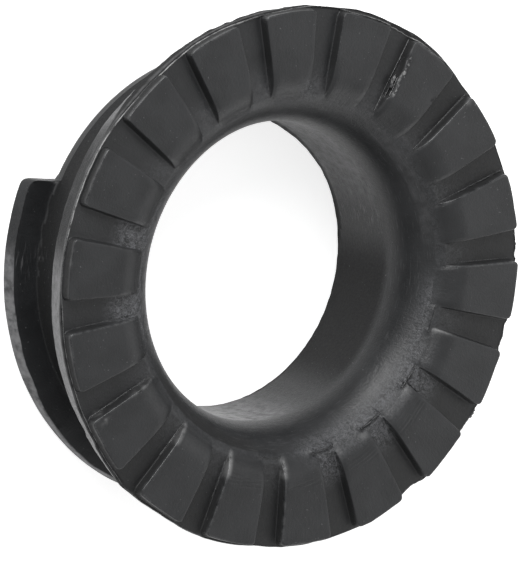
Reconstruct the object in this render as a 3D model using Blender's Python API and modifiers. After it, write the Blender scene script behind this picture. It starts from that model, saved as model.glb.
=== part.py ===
"""Strut bearing support ring: one moulded rubber ring.

A thick collar with a flared bore carries a wide flange. The flange's front face
has eighteen raised trapezoid pads with radial grooves between them. A thin lip
runs part of the way round the back end of the collar, and ends in straight cuts.

The ring lies on its back end: the origin is on its axis in the back face, +Z
points out of the padded face. Lengths are in metres, angles in degrees.
"""
import math

import bmesh
import bpy
from mathutils import Matrix, Vector

# Whole ring
HEIGHT = 0.0433
TURN_STEPS = 108

# Bore and the flare that opens it to the front
BORE_RADIUS = 0.0426
BORE_EDGE_ROUND = 0.0006
FLARE_WIDTH = 0.0092
FLARE_RADIUS = 0.0155
FLARE_STEPS = 7

# Collar
COLLAR_WALL = 0.0171
COLLAR_BACK_ROUND = 0.002
COLLAR_ROOT_FILLET = 0.003

# Flange, which stands out from the collar
FLANGE_REACH = 0.0163
FLANGE_THICKNESS = 0.0099
RIM_TAPER = 0.0031
RIM_BACK_ROUND = 0.0008

# Pads on the flange, from the flare out to a narrow border
PAD_COUNT = 18
PAD_HEIGHT = 0.0028
GROOVE_ANGLE = 7.16
BORDER_WIDTH = 0.001
PAD_CORNER_RADIUS = 0.0016
PAD_CORNER_STEPS = 2
PAD_DRAFT_ANGLE = 8.0
PAD_ARC_STEPS = 3
PAD_ROLL_LENGTH = 0.0067
PAD_ROLL_STEPS = 4
PAD_END_STEP = 0.0004

# Lip at the back end of the collar
LIP_REACH = 0.0099
LIP_TAPER = 0.0006
LIP_THICKNESS = 0.0039
LIP_END_OFFSET = 0.0197
LIP_END_CORNER = 0.0025
LIP_END_FILLET = 0.0025
LIP_ROOT_FILLET = 0.0016

# How far a joined shape reaches into its neighbour, and a cutter past its target
OVERLAP = 0.001
# How far past a wall a fillet or a round dies away, so that it crosses the wall cleanly
RUN_OUT = 0.0003
ARC_STEPS = 3
# Points of a turned shape's seam that lie closer than this are one
MERGE_DISTANCE = 0.00001

# Edges that bend more than this stay sharp in the shading
SHARP_ANGLE = 32.0
# Upright edges of a pad that bend more than this are its corners
CORNER_ANGLE = 60.0

# Finish
RUBBER_COLOUR = (0.045, 0.047, 0.049, 1.0)
RUBBER_ROUGHNESS = 0.55

# Radii, heights and angles worked out from the values above
COLLAR_RADIUS = BORE_RADIUS + COLLAR_WALL
FLANGE_RADIUS = COLLAR_RADIUS + FLANGE_REACH
LIP_RADIUS = COLLAR_RADIUS + LIP_REACH
PAD_INNER_RADIUS = BORE_RADIUS + FLARE_WIDTH
PAD_OUTER_RADIUS = FLANGE_RADIUS - BORDER_WIDTH
FLOOR_HEIGHT = HEIGHT - PAD_HEIGHT
FLANGE_BACK_HEIGHT = FLOOR_HEIGHT - FLANGE_THICKNESS
PAD_ANGLE = 360.0 / PAD_COUNT - GROOVE_ANGLE


def clear_scene():
    for item in list(bpy.data.objects):
        bpy.data.objects.remove(item, do_unlink=True)


def make_collection(name):
    collection = bpy.data.collections.new(name)
    bpy.context.scene.collection.children.link(collection)
    return collection


def make_rubber():
    material = bpy.data.materials.new("black_rubber")
    material.use_nodes = True
    shader = material.node_tree.nodes["Principled BSDF"]
    shader.inputs["Base Color"].default_value = RUBBER_COLOUR
    shader.inputs["Roughness"].default_value = RUBBER_ROUGHNESS
    shader.inputs["Metallic"].default_value = 0.0
    return material


def arc(centre, radius, start, end, steps):
    """Points of an arc in a plane, angles in degrees, both ends included."""
    points = []
    for step in range(steps + 1):
        angle = math.radians(start + (end - start) * step / steps)
        x = centre[0] + radius * math.cos(angle)
        y = centre[1] + radius * math.sin(angle)
        points.append((x, y))
    return points


def flare_centre():
    """Centre of the flare's arc, which meets the groove floor at the pads' inner end."""
    radius = BORE_RADIUS + FLARE_RADIUS
    drop = math.sqrt(FLARE_RADIUS ** 2 - (radius - PAD_INNER_RADIUS) ** 2)
    return radius, FLOOR_HEIGHT - drop


def flare_profile():
    """The flare from the bore wall up to the groove floor."""
    centre = flare_centre()
    end = 180.0 - math.degrees(math.asin((FLOOR_HEIGHT - centre[1]) / FLARE_RADIUS))
    return arc(centre, FLARE_RADIUS, 180.0, end, FLARE_STEPS)


def rim_corner():
    """The rounded corner between the flange's sloping rim and its back face."""
    lean = math.degrees(math.atan2(RIM_TAPER, FLANGE_THICKNESS))
    reach = RIM_BACK_ROUND * math.tan(math.radians((90.0 - lean) / 2.0))
    centre = (FLANGE_RADIUS - RIM_TAPER - reach, FLANGE_BACK_HEIGHT + RIM_BACK_ROUND)
    return arc(centre, RIM_BACK_ROUND, -lean, -90.0, ARC_STEPS)


def body_profile():
    """Half section of the ring without pads and lip, run outward, down, inward and up."""
    root = (COLLAR_RADIUS + COLLAR_ROOT_FILLET, FLANGE_BACK_HEIGHT - COLLAR_ROOT_FILLET)
    back = (COLLAR_RADIUS - COLLAR_BACK_ROUND, COLLAR_BACK_ROUND)
    bore = (BORE_RADIUS + BORE_EDGE_ROUND, BORE_EDGE_ROUND)
    points = [(FLANGE_RADIUS, FLOOR_HEIGHT)]
    points += rim_corner()
    points += arc(root, COLLAR_ROOT_FILLET, 90.0, 180.0, ARC_STEPS)
    points += arc(back, COLLAR_BACK_ROUND, 0.0, -90.0, ARC_STEPS)
    points += arc(bore, BORE_EDGE_ROUND, 270.0, 180.0, ARC_STEPS)
    points += flare_profile()
    return points


def lip_profile():
    """Half section of the lip, with a fillet that dies away inside the collar's wall."""
    wall = COLLAR_RADIUS - RUN_OUT
    fillet = (wall + LIP_ROOT_FILLET, LIP_THICKNESS + LIP_ROOT_FILLET)
    inner = COLLAR_RADIUS - COLLAR_BACK_ROUND - OVERLAP
    points = [(inner, LIP_THICKNESS + LIP_ROOT_FILLET)]
    points += arc(fillet, LIP_ROOT_FILLET, 180.0, 270.0, ARC_STEPS)
    points += [(LIP_RADIUS - LIP_TAPER, LIP_THICKNESS), (LIP_RADIUS, 0.0), (inner, 0.0)]
    return points


def envelope_profile():
    """Half section of the space the pads fill: flat on top, rolled down to the flare."""
    drop = PAD_HEIGHT - PAD_END_STEP
    radius = (PAD_ROLL_LENGTH ** 2 + drop ** 2) / (2.0 * drop)
    centre = (PAD_INNER_RADIUS + PAD_ROLL_LENGTH, HEIGHT - radius)
    sweep = math.degrees(math.asin(PAD_ROLL_LENGTH / radius))
    inner = PAD_INNER_RADIUS - OVERLAP
    outer = FLANGE_RADIUS + OVERLAP
    bottom = FLOOR_HEIGHT - 2.0 * OVERLAP
    points = [(inner, HEIGHT - drop - OVERLAP * math.tan(math.radians(sweep)))]
    points += arc(centre, radius, 90.0 + sweep, 90.0, PAD_ROLL_STEPS)
    points += [(outer, HEIGHT), (outer, bottom), (inner, bottom)]
    return points


def turned_object(name, points, collection):
    """A closed half section turned once round the Z axis."""
    mesh = bpy.data.meshes.new(name)
    corners = [(radius, 0.0, height) for radius, height in points]
    edges = [(index, (index + 1) % len(points)) for index in range(len(points))]
    mesh.from_pydata(corners, edges, [])
    item = bpy.data.objects.new(name, mesh)
    collection.objects.link(item)
    screw = item.modifiers.new("turn", "SCREW")
    screw.axis = "Z"
    screw.angle = 2.0 * math.pi
    screw.steps = TURN_STEPS
    screw.render_steps = TURN_STEPS
    screw.use_merge_vertices = True
    screw.merge_threshold = MERGE_DISTANCE
    screw.use_normal_calculate = False
    return item


def drawn_solid(lower, upper, bottom, top):
    """A closed solid drawn up from one flat outline to another of as many points."""
    shape = bmesh.new()
    base = [shape.verts.new((x, y, bottom)) for x, y in lower]
    grown = bmesh.ops.extrude_face_region(shape, geom=[shape.faces.new(base)])
    raised = {item for item in grown["geom"] if isinstance(item, bmesh.types.BMVert)}
    for vertex, (x, y) in zip(base, upper):
        neighbours = {edge.other_vert(vertex) for edge in vertex.link_edges}
        partner = (neighbours & raised).pop()
        partner.co = (x, y, top)
    bmesh.ops.recalc_face_normals(shape, faces=shape.faces)
    return shape


def object_from(shape, name, collection):
    mesh = bpy.data.meshes.new(name)
    shape.to_mesh(mesh)
    shape.free()
    item = bpy.data.objects.new(name, mesh)
    collection.objects.link(item)
    return item


def pad_outline(growth):
    """Plan of one pad on the +X side, each side moved outward by growth."""
    half = math.radians(PAD_ANGLE / 2.0)
    outer = PAD_OUTER_RADIUS + growth
    inner = PAD_INNER_RADIUS - growth
    points = []
    for radius, turn in ((outer, 1.0), (inner, -1.0)):
        reach = math.degrees(half + math.asin(growth / radius))
        points += arc((0.0, 0.0), radius, -turn * reach, turn * reach, PAD_ARC_STEPS)
    return points


def pad_solid():
    """One drafted pad with rounded corners, sunk into the flange and taller than the envelope."""
    bottom = FLOOR_HEIGHT - OVERLAP
    top = HEIGHT + OVERLAP
    draft = math.tan(math.radians(PAD_DRAFT_ANGLE))
    lower = pad_outline(draft * (HEIGHT - bottom))
    upper = pad_outline(draft * (HEIGHT - top))
    shape = drawn_solid(lower, upper, bottom, top)
    round_upright_corners(shape)
    return shape


def round_upright_corners(shape):
    """Round the four upright edges where a pad's sides meet its ends."""
    corners = []
    for edge in shape.edges:
        rise = abs(edge.verts[0].co.z - edge.verts[1].co.z)
        if rise > PAD_HEIGHT and edge.calc_face_angle() > math.radians(CORNER_ANGLE):
            corners.append(edge)
    bmesh.ops.bevel(
        shape,
        geom=corners,
        offset=PAD_CORNER_RADIUS,
        offset_type="OFFSET",
        segments=PAD_CORNER_STEPS,
        profile=0.5,
        affect="EDGES",
    )


def make_pads(cutters):
    """All pads in one helper object, their tops shaped by the turned envelope."""
    joined = bmesh.new()
    for index in range(PAD_COUNT):
        shape = pad_solid()
        turn = Matrix.Rotation(2.0 * math.pi * index / PAD_COUNT, 4, "Z")
        bmesh.ops.transform(shape, matrix=turn, verts=shape.verts)
        piece = bpy.data.meshes.new("pad")
        shape.to_mesh(piece)
        shape.free()
        joined.from_mesh(piece)
        bpy.data.meshes.remove(piece)
    pads = object_from(joined, "pads", cutters)
    envelope = turned_object("pad_envelope", envelope_profile(), cutters)
    add_boolean(pads, envelope, "INTERSECT")
    return pads


def lip_end_path():
    """Left end of the lip in plan, from the collar out: fillet, straight cut, round corner."""
    wall = COLLAR_RADIUS - RUN_OUT
    fillet_y = LIP_END_OFFSET + LIP_END_FILLET
    fillet_x = -math.sqrt((wall + LIP_END_FILLET) ** 2 - fillet_y ** 2)
    towards_axis = math.degrees(math.atan2(-fillet_y, -fillet_x))
    path = arc((fillet_x, fillet_y), LIP_END_FILLET, towards_axis, -90.0, ARC_STEPS)
    inner = Vector(path[0]) * (1.0 - 2.0 * OVERLAP / COLLAR_RADIUS)
    path.insert(0, (inner.x, inner.y))
    rim = LIP_RADIUS + RUN_OUT
    corner_y = LIP_END_OFFSET - LIP_END_CORNER
    corner_x = -math.sqrt((rim - LIP_END_CORNER) ** 2 - corner_y ** 2)
    away_from_axis = math.degrees(math.atan2(corner_y, corner_x))
    path += arc((corner_x, corner_y), LIP_END_CORNER, 90.0, away_from_axis, ARC_STEPS)
    return path


def lip_gap_outline():
    """Plan of the lip's missing part: in along one end, out along the other, round behind."""
    left = lip_end_path()
    right = [(-x, y) for x, y in reversed(left)]
    side = 2.0 * LIP_RADIUS
    level = left[-1][1]
    return right + left + [(-side, level), (-side, side), (side, side), (side, level)]


def make_lip(cutters):
    """The lip turned all the way round, then cut away past its two straight ends."""
    lip = turned_object("lip", lip_profile(), cutters)
    # Half a turn step round, so that the lip's edges cross the collar's facets and not their edges
    lip.rotation_euler.z = math.pi / TURN_STEPS
    outline = lip_gap_outline()
    top = LIP_THICKNESS + LIP_ROOT_FILLET + OVERLAP
    gap = object_from(drawn_solid(outline, outline, -OVERLAP, top), "lip_gap", cutters)
    add_boolean(lip, gap, "DIFFERENCE")
    return lip


def add_boolean(item, other, operation):
    modifier = item.modifiers.new(operation.lower(), "BOOLEAN")
    modifier.object = other
    modifier.operation = operation
    modifier.solver = "EXACT"


def hide_helpers(collection):
    for item in collection.objects:
        item.hide_render = True
        item.display_type = "WIRE"


def freeze(item):
    """Replace an object's modifiers by the mesh that they make, shaded smooth."""
    bpy.context.view_layer.update()
    graph = bpy.context.evaluated_depsgraph_get()
    mesh = bpy.data.meshes.new_from_object(item.evaluated_get(graph))
    item.modifiers.clear()
    item.data = mesh
    mesh.shade_smooth()
    mesh.set_sharp_from_angle(angle=math.radians(SHARP_ANGLE))


def main():
    clear_scene()
    parts = make_collection("strut_bearing_support_ring")
    cutters = make_collection("cutters")
    ring = turned_object("support_ring", body_profile(), parts)
    add_boolean(ring, make_lip(cutters), "UNION")
    add_boolean(ring, make_pads(cutters), "UNION")
    hide_helpers(cutters)
    freeze(ring)
    ring.data.materials.clear()
    ring.data.materials.append(make_rubber())


main()
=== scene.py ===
import math
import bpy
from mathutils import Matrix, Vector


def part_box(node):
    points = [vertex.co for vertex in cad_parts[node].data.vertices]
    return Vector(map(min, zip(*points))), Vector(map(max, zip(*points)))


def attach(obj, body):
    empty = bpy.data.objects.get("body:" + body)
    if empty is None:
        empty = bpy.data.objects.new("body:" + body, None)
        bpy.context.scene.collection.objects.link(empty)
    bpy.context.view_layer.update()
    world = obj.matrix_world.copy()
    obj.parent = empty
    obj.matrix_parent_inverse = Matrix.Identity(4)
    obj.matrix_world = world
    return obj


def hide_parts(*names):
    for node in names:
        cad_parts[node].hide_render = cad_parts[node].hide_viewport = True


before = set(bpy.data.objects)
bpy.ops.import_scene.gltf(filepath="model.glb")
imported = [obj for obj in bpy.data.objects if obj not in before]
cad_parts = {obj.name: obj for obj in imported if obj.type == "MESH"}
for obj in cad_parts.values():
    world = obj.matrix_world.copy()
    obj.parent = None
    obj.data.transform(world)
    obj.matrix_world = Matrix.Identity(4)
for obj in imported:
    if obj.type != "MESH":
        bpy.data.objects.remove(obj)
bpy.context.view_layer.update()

from types import SimpleNamespace

import bmesh
import bpy
import numpy as np
from mathutils import Matrix, Vector

# Lengths are in millimetres and angles in degrees until a mesh or a lamp is made.
METRE = 0.001
NODE = "support_ring"
LOW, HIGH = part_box(NODE)
HEIGHT = (HIGH.z - LOW.z) / METRE
FLANGE_RADIUS = (HIGH.x - LOW.x) / 2.0 / METRE

# Bore, flare and collar
BORE_RADIUS = 42.6
BORE_EDGE_ROUND = 0.6
FLARE_WIDTH = 9.2
FLARE_RADIUS = 15.5
COLLAR_RADIUS = FLANGE_RADIUS - 16.3
COLLAR_BACK_ROUND = 2.0
COLLAR_ROOT_FILLET = 3.0

# Flange
FLANGE_THICKNESS = 9.9
RIM_TAPER = 3.1
RIM_BACK_ROUND = 0.8
RIM_FRONT_ROUND = 0.3
BORDER_WIDTH = 1.0

# Pads
PAD_COUNT = 18
PAD_HEIGHT = 2.8
GROOVE_ANGLE = 7.16
PAD_DRAFT_ANGLE = 8.0
PAD_ROLL_LENGTH = 6.7
PAD_END_STEP = 0.4
PAD_END_BLEND = 1.2
PAD_END_REACH = 1.1
PAD_EDGE_ROUND = 0.32
PAD_FOOT_FILLET = 0.3
OUTER_CORNER_RADIUS = 2.0
INNER_CORNER_RADIUS = 2.3
# How far past the foot line, the rim's end and the bore's end the rounding of a corner dies away
CORNER_FADE = 2.5
OUTER_CORNER_FADE = 0.25
INNER_CORNER_FADE = 2.0

# Lip
LIP_RADIUS = COLLAR_RADIUS + 9.9
LIP_TAPER = 0.6
LIP_THICKNESS = 3.9
LIP_END_OFFSET = 19.7
LIP_END_CORNER = 2.5
LIP_END_FILLET = 2.5
LIP_ROOT_FILLET = 1.6
LIP_EDGE_ROUND = 0.35

# Radii, heights and angles worked out from the values above
PITCH = 360.0 / PAD_COUNT
HALF_PAD_ANGLE = (PITCH - GROOVE_ANGLE) / 2.0
PAD_INNER_RADIUS = BORE_RADIUS + FLARE_WIDTH
PAD_END_RADIUS = PAD_INNER_RADIUS - PAD_END_REACH
PAD_OUTER_RADIUS = FLANGE_RADIUS - BORDER_WIDTH
FLOOR_HEIGHT = HEIGHT - PAD_HEIGHT
FLANGE_BACK_HEIGHT = FLOOR_HEIGHT - FLANGE_THICKNESS

# Columns of the skin: steps over half a pad, half a groove and the round of a pad's edge, and
# distances of single columns inside a pad's edge and outside its foot
PAD_STEPS = 4
GROOVE_STEPS = 2
EDGE_STEPS = 4
INSIDE = (-3.2, -2.0, -1.2, -0.7)
OUTSIDE = (0.5, 1.2)
# Rows of the skin: over a pad's flat top, its roll, its inner end and the flare
FLAT_ROWS = 16
ROLL_ROWS = 26
PAD_END_ROWS = 7
FLARE_ROWS = 16
# Where the closer rows of the roll begin and end, and how far inside the pads' ends the flare's rows begin
ROLL_MARGIN = 1.5
PAD_END_MARGIN = 0.3
FLARE_MARGIN = 0.35
# The lip's ends: their angles, and how wide and how strongly columns are drawn together there
LIP_END_ANGLES = (162.5, 17.5)
LIP_END_PULL_WIDTH = 9.0
LIP_END_PULL = 0.72
# Least reach of the lip's rounds where the lip runs out
LEAST_REACH = 0.02
# Rows of the lip's section that make its rim, and the reach at which the lip's section is full
LIP_RIM_ROWS = (11, 19)
LIP_FULL_REACH = 1.2
# Rows of the flange's back over which the columns move to where the lip needs them
DRAWING_ROWS = 8.0
# How far the skin and the fins stay inside the part's box
BOX_CLEARANCE = 0.03
FIN_CLEARANCE = 0.02
# Zones of the skin
ZONES = range(6)
FRONT, FLARE, RIM, BACK, LIP, BORE = ZONES

# Wear and moulding marks, and painted light and shade. Angles are counted anticlockwise from +X, seen from
# the padded side.
# How much a pad's long edges sink at its inner end, and how far from the edge that reaches
PAD_SOFTENING = 0.45
PAD_SOFT_WIDTH = 0.8
# Ripples across pads: their spacing and depth, the pads, and the radii between which they rise and end
RIPPLE_SPACING = 1.05
RIPPLE_DEPTH = 0.15
RIPPLED_PADS = (-100.0, -80.0, -60.0, -40.0)
RIPPLE_REACH = (54.0, 55.2, 58.6, 59.8)
# A bite out of the flange's edge, a nick in one pad and a scuff on another
BITE_ANGLE = -50.6
BITE_DEPTH = 1.1
BITE_WIDTH = 2.6
NICK_ANGLE = 54.0
NICK_RADIUS = 65.0
NICK_DEPTH = 0.8
NICK_WIDTH = 0.55
# Width of the painted shade in the nick's pit
NICK_SHADE_WIDTH = 0.6
SCUFF_ANGLE = -146.0
SCUFF_RADIUS = 71.6
SCUFF_WIDTH = 1.3
SCUFF_STRENGTH = 0.7
# Torn side of one pad: the pad's angle, the angles about its side, and radii of the tear and its shreds
TORN_PAD_ANGLE = 60.0
TORN_SIDE_ANGLE = TORN_PAD_ANGLE + 5.5
TORN_SIDE_REACH = 4.5
TEAR_START = 56.5
TEAR_END = 71.0
TEAR_FADE = 2.0
TEAR_RETREAT = 1.15
SHRED_END = 64.2
# Second thin line beside one pad's edge: the pad's angle, radii from and to, depth inside the edge
PAD_LINE_PAD = 40.0
PAD_LINE_REACH = (67.5, 74.6)
PAD_LINE_DEPTH = 2.6
# Fins of flash: distance between points, depth of their foot, share of width at the crest, edge mark (a
# painted highlight and extra gloss)
FLASH_STEP = 0.2
FLASH_SINK = 0.08
FLASH_LEAN = 0.3
FLASH_EDGE = 0.8
# How far inside the flange's edge the rim's flash and its teeth stand
RIM_FLASH_INSET = 0.2
TOOTH_INSET = 0.35
# Arcs of the rim's flash: torn, set on the pads, clean, and beaded, each with its fade
TORN_RIM = (60.0, 84.0, 5.0)
CLIMBING_RIM = (54.0, 90.0, 6.0)
CLEAN_RIM = (84.0, 176.0, 6.0)
BEADED_RIM = (-178.0, -128.0, 8.0)

# Flash along a pad's foot: pad's angle, side (1 is anticlockwise), radii from and to, height, beads
FOOT_FLASH = (
    (60.0, 1, 51.5, 75.0, 0.26, 9.0),
    (40.0, 1, 52.0, 75.2, 0.30, 9.0),
    (20.0, 1, 52.0, 75.0, 0.42, 1.1),
    (0.0, 1, 56.0, 74.0, 0.14, 2.0),
    (-40.0, 1, 51.4, 56.0, 0.30, 1.2),
    (-100.0, -1, 54.0, 64.5, 0.26, 1.3),
    (-120.0, -1, 51.5, 63.0, 0.24, 1.6),
    (-140.0, -1, 52.0, 74.0, 0.26, 3.0),
    (-160.0, -1, 52.0, 73.0, 0.14, 3.0),
)
# Shape of the flange's edge: angles, and how far it lies outside or inside its circle there
RIM_SHAPE = (
    (-140.0, 0.3), (-134.0, 0.6), (-130.0, 1.0), (-126.0, 0.5), (-118.0, -0.4), (-108.0, 0.0),
    (-92.0, -0.5), (-85.0, 0.1), (-70.0, 0.5), (-63.0, 1.0), (-57.0, 0.6), (-46.0, 1.1),
    (-36.0, 0.4), (-28.0, 0.85), (-18.0, 0.1), (-4.0, 0.5),
    (10.0, 0.7), (22.0, 0.45), (30.0, 0.0), (37.0, 0.35), (49.0, -0.05), (59.0, 1.0), (66.0, 1.4),
    (76.0, 1.0), (88.0, 1.1), (100.0, 0.5), (110.0, 0.1), (116.0, 0.3), (126.0, 0.4), (134.0, 0.0),
)
# Painted highlights along a pad's side: pad's angle, side, radii from and to, depth inside, width, strength
PAINTED_SIDE_HIGHLIGHTS = (
    (-20.0, 1, 50.8, 59.0, 0.2, 0.35, 0.38),
    (-40.0, 1, 50.9, 54.0, 1.6, 1.4, 0.22),
    (-60.0, 1, 50.9, 54.5, 1.6, 1.4, 0.20),
    (-80.0, -1, 50.0, 57.0, 0.3, 0.7, 0.40),
    (-100.0, -1, 50.0, 59.0, 0.3, 0.6, 0.45),
    (-120.0, -1, 50.5, 59.0, 0.3, 0.5, 0.35),
    (-140.0, -1, 52.0, 62.0, 0.2, 0.4, 0.20),
    (40.0, 1, 71.5, 75.0, 0.6, 0.6, 0.22),
)
# Shreds on the torn pad's wall: distance out, drop below the top, reach, paleness, noise seed
TORN_SHREDS = (
    (-0.6, 1.2, 0.7, 0.55, 131),
    (0.1, 1.9, 0.6, 0.35, 133),
)
# Lumps of torn rubber on that wall: radius, angle, height, size along, across and up, paleness
TORN_LUMPS = (
    (70.2, 65.5, 43.0, 0.70, 0.35, 0.35, 0.85),
    (69.3, 65.1, 43.0, 0.45, 0.30, 0.30, 0.55),
    (68.2, 65.3, 43.0, 0.50, 0.30, 0.30, 0.65),
    (66.8, 65.4, 42.9, 0.45, 0.25, 0.30, 0.50),
    (65.6, 65.3, 42.8, 0.95, 0.38, 0.45, 0.85),
    (64.5, 64.9, 42.9, 0.55, 0.35, 0.35, 0.60),
    (62.6, 66.8, 42.0, 0.90, 0.60, 0.50, 0.55),
    (61.0, 66.7, 42.0, 1.20, 0.55, 0.50, 0.65),
    (62.0, 65.1, 42.9, 0.95, 0.32, 0.35, 0.50),
    (60.1, 65.1, 42.9, 0.80, 0.28, 0.32, 0.50),
)
# Small teeth of flash that stand out from the rim: angles from and to, reach, width of a tooth
RIM_TEETH = (
    (5.0, 12.0, 0.75, 1.0),
    (-35.5, -30.2, 0.9, 1.1),
    (-29.8, -26.8, 1.5, 2.6),
    (-47.5, -43.0, 0.6, 1.0),
    (-58.0, -55.0, 0.4, 1.0),
)
# Grooves whose inner end is a ragged step to the flare: groove's angle and height of the step
FLARE_STEPS = ((-30.0, 0.8), (-50.0, 0.75), (-70.0, 0.65), (-90.0, 0.25), (-10.0, 0.3))
# Radius of those steps, the angle by which they run on beside their groove, and the rise of the flare
# there, the dip behind it and the rise of the ragged crest, as shares of the step's height
STEP_RADIUS = 50.35
STEP_OVERRUN = 2.4
STEP_RISE = 1.6
STEP_DIP = 0.5
STEP_CREST = 1.5

# Finishes and painted light and shade along arcs: part of the surface, angles from and to, fade just inside
# them, strength
FINISH_AND_PAINTED_LIGHT_ARCS = {
    # Painted light: paler where the rim's side, the lip's rim, the bore and the flare are lit
    "painted_light": (
        ("rim_side", 175.0, 244.0, 10.0, 1.25),
        ("lip_rim", 178.0, 248.0, 6.0, 1.3),
        ("bore", -132.0, -56.0, 26.0, 1.05),
        ("bore", 20.0, 98.0, 22.0, 0.88),
        ("flare", 128.0, 214.0, 22.0, 0.36),
        ("upper_flare", 8.0, 72.0, 16.0, 0.16),
        ("groove_ends", 100.0, 156.0, 12.0, 0.12),
    ),
    "matt": (
        ("rim_side", 146.0, 180.0, 8.0, 1.0),
        ("lip_rim", 150.0, 186.0, 8.0, 1.0),
    ),
    "scratch": (
        ("bore", 12.0, 92.0, 14.0, 1.2),
    ),
    # Painted shade: darker on parts of the bore, the rim's side, the flare's mouth and the rim's outer edge,
    # where they lie in shade
    "painted_shade": (
        ("bore", -56.0, 20.0, 20.0, 0.95),
        ("rim_side", 152.0, 186.0, 6.0, 0.4),
        ("flare_mouth", 208.0, 272.0, 14.0, 1.0),
        ("outer_edge", -176.0, -126.0, 6.0, 1.0),
        ("outer_edge", 58.0, 156.0, 6.0, 1.0),
    ),
    # Painted light on the lip's rim at the lower left
    "burr_and_painted_light": (
        ("lip_rim", 186.0, 226.0, 8.0, 0.20),
    ),
}

# Colours of the rubber, and of the painted light and shade on it
DEEP_BLACK = (0.0100, 0.0106, 0.0117)
WORN_BLACK = (0.0160, 0.0168, 0.0182)
# Black of the painted shade on the groove floors and in other shaded places
PAINTED_SHADE_BLACK = (0.0050, 0.0052, 0.0056)
PATCH_GREY = (0.118, 0.120, 0.128)
# Grey of the painted light on lit places, and of the pale scratch lines
SCRATCH_AND_PAINTED_LIGHT_GREY = (0.170, 0.170, 0.176)
# Grey of the painted highlight on edges, and of random pale specks
EDGE_HIGHLIGHT_AND_SPECK_GREY = (0.115, 0.117, 0.120)
# Grey of pale flash and torn rubber, and of painted light and highlights
BURR_AND_PAINTED_LIGHT_GREY = (0.30, 0.30, 0.30)
# Noise patterns of the rubber: lumps per metre, detail, roughness and distortion
RUBBER_PATTERNS = {
    "blotch": (95.0, 3.0, 0.5, 0.0),
    "cloud": (420.0, 3.0, 0.5, 0.0),
    "grain": (1500.0, 4.0, 0.6, 0.0),
    "crackle": (900.0, 5.0, 0.75, 1.5),
    "specks": (1700.0, 0.0, 0.5, 0.0),
}
# Lumps drawn out round the ring: length and width in metres, detail
LINE_PATTERN = (0.006, 0.00035, 3.0)
STREAK_PATTERN = (0.0009, 0.02, 2.0)
BASE_ROUGHNESS = 0.37
BUMP_STRENGTH = 0.75
BUMP_DISTANCE = 0.0002

# Camera of the photograph: its place against the ring's padded face, in picture axes
FOCAL_LENGTH = 333.06
SENSOR_WIDTH = 36.0
VIEW_SIDE_ANGLE = 34.301
VIEW_TILT_ANGLE = 8.585
VIEW_TURN_ANGLE = 2.2
VIEW_OFFSET = (10.976, -0.019, -1330.58)
CLIP_START = 0.05
CLIP_END = 50.0

# Floor, in metres: its half width and its gap below the ring. Its glow as the camera and as glosses see it
FLOOR_REACH = 6.0
FLOOR_GAP = 0.0001
FLOOR_LIFT = 0.66
FLOOR_GLOSS_LIFT = 0.45
# Strength of the room's light from the sides and from overhead
SIDE_LIGHT = 0.44
TOP_LIGHT = 0.63
# Area lamps: name, direction from the ring, distance and width in metres, power in watts
LAMPS = (
    ("key", (-0.45, 0.72, 0.52), 0.9, 0.6, 8.0),
    ("low", (0.66, -0.70, 0.22), 0.8, 0.7, 2.2),
    ("panel", (0.76, 0.12, 0.64), 0.6, 0.4, 0.4),
)


def arc(centre, radius, start, end, steps):
    """Points of an arc in a plane, angles in degrees, both ends included."""
    angles = np.radians(np.linspace(start, end, steps + 1))
    return [(centre[0] + radius * math.cos(a), centre[1] + radius * math.sin(a)) for a in angles]


def smooth(value, low, high):
    """0 below low, 1 above high and a smooth rise between them."""
    t = np.clip((np.asarray(value, float) - low) / (high - low), 0.0, 1.0)
    return t * t * (3.0 - 2.0 * t)


def plateau(value, start, full, ease, end):
    """1 from full to ease, dying away to 0 at start and at end."""
    return smooth(value, start, full) * (1.0 - smooth(value, ease, end))


def turned(degrees, centre):
    """How far each angle lies from a centre, from -180 to 180."""
    return (np.asarray(degrees, float) - centre + 180.0) % 360.0 - 180.0


def bell(value, width):
    """1 at 0, dying away about width to each side."""
    return np.exp(-(np.asarray(value, float) / width) ** 2)


def between(degrees, start, end, fade):
    """1 between two angles, counted anticlockwise, and fading to 0 just inside each of them."""
    away = np.abs(turned(degrees, (start + end) / 2.0))
    half = (end - start) / 2.0
    return 1.0 - smooth(away, half - fade, half)


def lattice_value(cells, seed):
    """A repeatable number from 0 to 1 for each whole-number cell."""
    mixed = cells[..., 0] * 374761393 + cells[..., 1] * 668265263
    mixed = (mixed + cells[..., 2] * 2147483647 + seed * 1274126177) & 0xFFFFFFFF
    mixed = ((mixed ^ (mixed >> 13)) * 1103515245) & 0xFFFFFFFF
    mixed = ((mixed ^ (mixed >> 16)) * 668265263) & 0xFFFFFFFF
    return ((mixed ^ (mixed >> 15)) & 0xFFFF) / 65535.0


def noise(points, size, seed):
    """Smooth noise from -1 to 1 whose lumps are about size wide."""
    scaled = np.asarray(points, float) / size
    base = np.floor(scaled).astype(np.int64)
    share = scaled - base
    share = share * share * (3.0 - 2.0 * share)
    total = np.zeros(scaled.shape[:-1])
    for corner in np.ndindex(2, 2, 2):
        weight = np.prod(np.where(np.array(corner) == 1, share, 1.0 - share), axis=-1)
        total += weight * lattice_value(base + np.array(corner), seed)
    return total * 2.0 - 1.0


def polar(radius, angles, heights):
    """Points at these radii, angles in radians and heights about the ring's axis."""
    return np.stack([radius * np.cos(angles), radius * np.sin(angles), heights], axis=-1)


def rim_noise(degrees, size, seed):
    """Noise along the flange's edge, from -1 to 1."""
    angles = np.radians(degrees)
    return noise(polar(FLANGE_RADIUS, angles, np.zeros(np.shape(angles))), size, seed)


def lumps(points, depth, size, seed):
    """Unevenness from 0 to twice its depth, in lumps about size wide."""
    return depth * (1.0 + noise(points, size, seed))


def rim_waves(degrees, depth, size, seed):
    """Unevenness along the rim from 0 to twice its depth, in waves about size long."""
    return depth * (1.0 + rim_noise(degrees, size, seed))


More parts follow.
